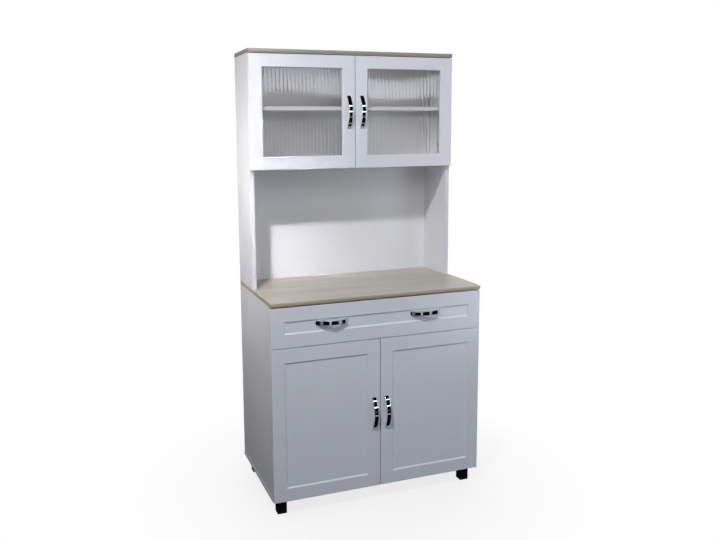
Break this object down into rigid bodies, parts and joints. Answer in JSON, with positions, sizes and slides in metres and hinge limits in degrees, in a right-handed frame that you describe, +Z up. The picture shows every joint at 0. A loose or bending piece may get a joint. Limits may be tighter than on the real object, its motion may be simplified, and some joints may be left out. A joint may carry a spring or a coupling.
{
  "type": "kitchen buffet cabinet",
  "caption": "Free-standing kitchen buffet: base with two doors and a wide drawer, oak-look worktop, open niche, and a glazed two-door hutch on block feet.",
  "frame": {"origin": "on the floor, under the middle of the cabinet's box", "axes": "+Z up, the fronts face -Y, +X to the right of a person facing the fronts"},
  "size_m": [0.902, 0.517, 1.823],
  "materials": {
    "white_carcass": "white melamine board, satin",
    "white_front": "white foiled board, satin",
    "oak_top": "light oak grain laminate, semi-gloss",
    "back_board": "thin white lacquered fibreboard",
    "drawer_board": "white melamine board, satin",
    "pane": "vertically ribbed translucent glass",
    "clear_plastic": "clear moulded plastic",
    "chrome": "polished chrome",
    "steel": "nickel plated steel",
    "zinc": "zinc plated steel",
    "black_plastic": "black moulded plastic",
    "bumper": "clear soft rubber"
  },
  "bodies": {
    "root": {"front_left_foot": "black_plastic", "front_right_foot": "black_plastic", "rear_left_foot": "black_plastic", "rear_right_foot": "black_plastic", "base_bottom_panel": "white_carcass", "base_front_top_rail": "white_carcass", "base_rear_top_rail": "white_carcass", "drawer_divider_rail": "white_carcass", "base_left_side": "white_carcass", "base_right_side": "white_carcass", "base_back_panel": "back_board", "lower_shelf": "white_carcass", "worktop": "oak_top", "hutch_floor_panel": "white_carcass", "hutch_left_side": "white_carcass", "hutch_right_side": "white_carcass", "hutch_back_panel": "back_board", "upper_shelf": "white_carcass", "roof_panel": "oak_top", "hinge_plates": "steel", "hinge_arms": "steel", "carcass_screws": "zinc", "cam_locks": "zinc", "cam_bolts": "zinc", "shelf_pins": "zinc", "door_bumpers": "bumper", "cabinet_slide_members": "zinc"},
    "upper_left_door": {"upper_left_frame": "white_front", "upper_left_pane": "pane", "upper_left_pane_clips": "clear_plastic", "upper_left_hinge_cups": "steel", "upper_left_handle": "chrome", "upper_left_screws": "zinc"},
    "upper_left_links": {"upper_left_hinge_links": "steel"},
    "upper_right_door": {"upper_right_frame": "white_front", "upper_right_pane": "pane", "upper_right_pane_clips": "clear_plastic", "upper_right_hinge_cups": "steel", "upper_right_handle": "chrome", "upper_right_screws": "zinc"},
    "upper_right_links": {"upper_right_hinge_links": "steel"},
    "lower_left_door": {"lower_left_panel": "white_front", "lower_left_hinge_cups": "steel", "lower_left_handle": "chrome", "lower_left_screws": "zinc"},
    "lower_left_links": {"lower_left_hinge_links": "steel"},
    "lower_right_door": {"lower_right_panel": "white_front", "lower_right_hinge_cups": "steel", "lower_right_handle": "chrome", "lower_right_screws": "zinc"},
    "lower_right_links": {"lower_right_hinge_links": "steel"},
    "drawer": {"drawer_front": "white_front", "drawer_left_side": "drawer_board", "drawer_right_side": "drawer_board", "drawer_back": "drawer_board", "drawer_bottom_panel": "back_board", "drawer_handles": "chrome", "drawer_screws": "zinc", "drawer_slide_members": "zinc"},
    "slide_middles": {"middle_slide_members": "zinc"}
  },
  "joints": [
    {"name": "upper_left_door_hinge", "type": "hinge", "parent": "root", "child": "upper_left_door", "pos_m": [-0.4431, 0.0295, 1.5745], "axis": [0, 0, -1], "range_deg": [0, 105]},
    {"name": "upper_left_link_pivot", "type": "hinge", "parent": "root", "child": "upper_left_links", "pos_m": [-0.4233, 0.0356, 1.5745], "axis": [0, 0, 1], "range_deg": [0, 47]},
    {"name": "upper_right_door_hinge", "type": "hinge", "parent": "root", "child": "upper_right_door", "pos_m": [0.4431, 0.0295, 1.5745], "axis": [0, 0, 1], "range_deg": [0, 105]},
    {"name": "upper_right_link_pivot", "type": "hinge", "parent": "root", "child": "upper_right_links", "pos_m": [0.4233, 0.0356, 1.5745], "axis": [0, 0, -1], "range_deg": [0, 47]},
    {"name": "lower_left_door_hinge", "type": "hinge", "parent": "root", "child": "lower_left_door", "pos_m": [-0.4431, -0.2265, 0.371], "axis": [0, 0, -1], "range_deg": [0, 105]},
    {"name": "lower_left_link_pivot", "type": "hinge", "parent": "root", "child": "lower_left_links", "pos_m": [-0.4233, -0.2204, 0.371], "axis": [0, 0, 1], "range_deg": [0, 47]},
    {"name": "lower_right_door_hinge", "type": "hinge", "parent": "root", "child": "lower_right_door", "pos_m": [0.4431, -0.2265, 0.371], "axis": [0, 0, 1], "range_deg": [0, 105]},
    {"name": "lower_right_link_pivot", "type": "hinge", "parent": "root", "child": "lower_right_links", "pos_m": [0.4233, -0.2204, 0.371], "axis": [0, 0, -1], "range_deg": [0, 47]},
    {"name": "drawer_slide", "type": "slide", "parent": "root", "child": "drawer", "axis": [0, -1, 0], "range_m": [0, 0.35]},
    {"name": "middle_member_slide", "type": "slide", "parent": "root", "child": "slide_middles", "axis": [0, -1, 0], "range_m": [0, 0.18]}
  ],
  "couplings": [
    {"joint": "upper_left_link_pivot", "follows": "upper_left_door_hinge", "ratio": 0.441},
    {"joint": "upper_right_link_pivot", "follows": "upper_right_door_hinge", "ratio": 0.441},
    {"joint": "lower_left_link_pivot", "follows": "lower_left_door_hinge", "ratio": 0.441},
    {"joint": "lower_right_link_pivot", "follows": "lower_right_door_hinge", "ratio": 0.441},
    {"joint": "middle_member_slide", "follows": "drawer_slide", "ratio": 0.5}
  ]
}
